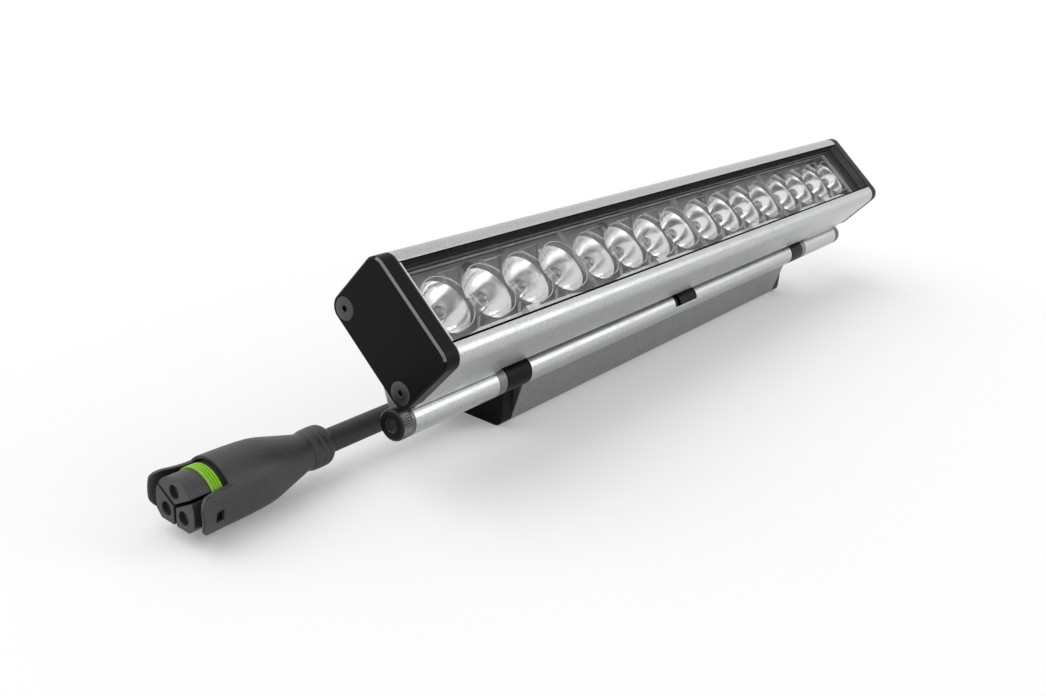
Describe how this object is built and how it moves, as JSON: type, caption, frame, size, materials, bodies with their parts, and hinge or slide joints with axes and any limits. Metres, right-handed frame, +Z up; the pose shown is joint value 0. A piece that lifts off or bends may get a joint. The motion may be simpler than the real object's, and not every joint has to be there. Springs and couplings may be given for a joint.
{
  "type": "wall grazer light",
  "caption": "Linear wall grazer: a tilting aluminium head with a row of lenses behind clear glass, hinged on a slim driver base with a short lead and keyed plug.",
  "frame": {"origin": "centre of the base's underside", "axes": "+X along the light, away from the end with the lead; -Y the side that the lenses look to; +Z up, square to the base's underside"},
  "size_m": [0.3583, 0.0522, 0.0632],
  "materials": {
    "satin_aluminium": "anodised satin, fine length-wise grain",
    "cap_black": "moulded, fine texture",
    "black_rubber": "matt",
    "dark_steel": "blackened",
    "light_steel": "plain",
    "spacer_grey": "smooth",
    "clear_glass": "polished",
    "clear_acrylic": "polished",
    "board_white": "solder mask",
    "led_yellow": "clear dome over phosphor",
    "pad_grey": "matt",
    "ivory_plastic": "moulded",
    "cable_rubber": "matt",
    "brass": "plain",
    "board_green": "solder mask",
    "choke_copper": "enamelled winding",
    "capacitor_blue": "sleeve",
    "chip_black": "moulded",
    "plug_black": "moulded, fine texture",
    "core_brown": "smooth",
    "ring_green": "moulded"
  },
  "bodies": {
    "base": {"base_profile": "satin_aluminium", "base_cap_near": "cap_black", "base_cap_far": "cap_black", "base_gasket_near": "black_rubber", "base_gasket_far": "black_rubber", "base_cap_screws": "dark_steel", "knuckle_nut_near": "brass", "knuckle_nut_far": "brass", "spacer_near": "spacer_grey", "spacer_far": "spacer_grey", "centre_insert": "cap_black", "link_lead_base": "cable_rubber", "mount_inserts": "brass", "driver_board": "board_green", "driver_choke": "choke_copper", "driver_capacitors": "capacitor_blue", "driver_chips": "chip_black", "terminal_block": "ivory_plastic", "output_socket": "ivory_plastic", "gland_body": "plug_black", "gland_nut": "plug_black", "gland_seal": "black_rubber", "gland_lock_nut": "light_steel", "cable_tail": "cable_rubber", "input_cores": "core_brown", "power_cable": "cable_rubber", "plug_housing": "plug_black", "plug_insert": "plug_black", "plug_contacts": "brass", "code_ring": "ring_green", "plug_seal": "black_rubber", "plug_collar": "plug_black", "plug_cable_end": "cable_rubber", "plug_cores": "core_brown"},
    "head": {"head_profile": "satin_aluminium", "head_cap_near": "cap_black", "head_cap_far": "cap_black", "head_gasket_near": "black_rubber", "head_gasket_far": "black_rubber", "head_cap_screws": "dark_steel", "front_cover": "clear_glass", "cover_seal": "black_rubber", "lens_array_1": "clear_acrylic", "lens_array_2": "clear_acrylic", "lens_array_3": "clear_acrylic", "lens_array_4": "clear_acrylic", "led_board": "board_white", "leds": "led_yellow", "heat_pad": "pad_grey", "board_screws": "dark_steel", "head_socket": "ivory_plastic", "head_grommet": "black_rubber", "link_lead_head": "cable_rubber", "pivot_bush_near": "brass", "pivot_bush_far": "brass", "lock_washer_near": "light_steel", "lock_washer_far": "light_steel"},
    "clamp_screw_near": {"clamp_screw_near": "dark_steel"},
    "clamp_screw_far": {"clamp_screw_far": "dark_steel"}
  },
  "joints": [
    {"name": "head_tilt", "type": "hinge", "parent": "base", "child": "head", "pos_m": [0, -0.01785, 0.0184], "axis": [1, 0, 0], "range_deg": [-40, 80]},
    {"name": "clamp_turn_near", "type": "hinge", "parent": "base", "child": "clamp_screw_near", "pos_m": [-0.1499, -0.01785, 0.0184], "axis": [-1, 0, 0], "range_deg": [0, 180]},
    {"name": "clamp_turn_far", "type": "hinge", "parent": "base", "child": "clamp_screw_far", "pos_m": [0.1499, -0.01785, 0.0184], "axis": [1, 0, 0], "range_deg": [0, 180]}
  ]
}
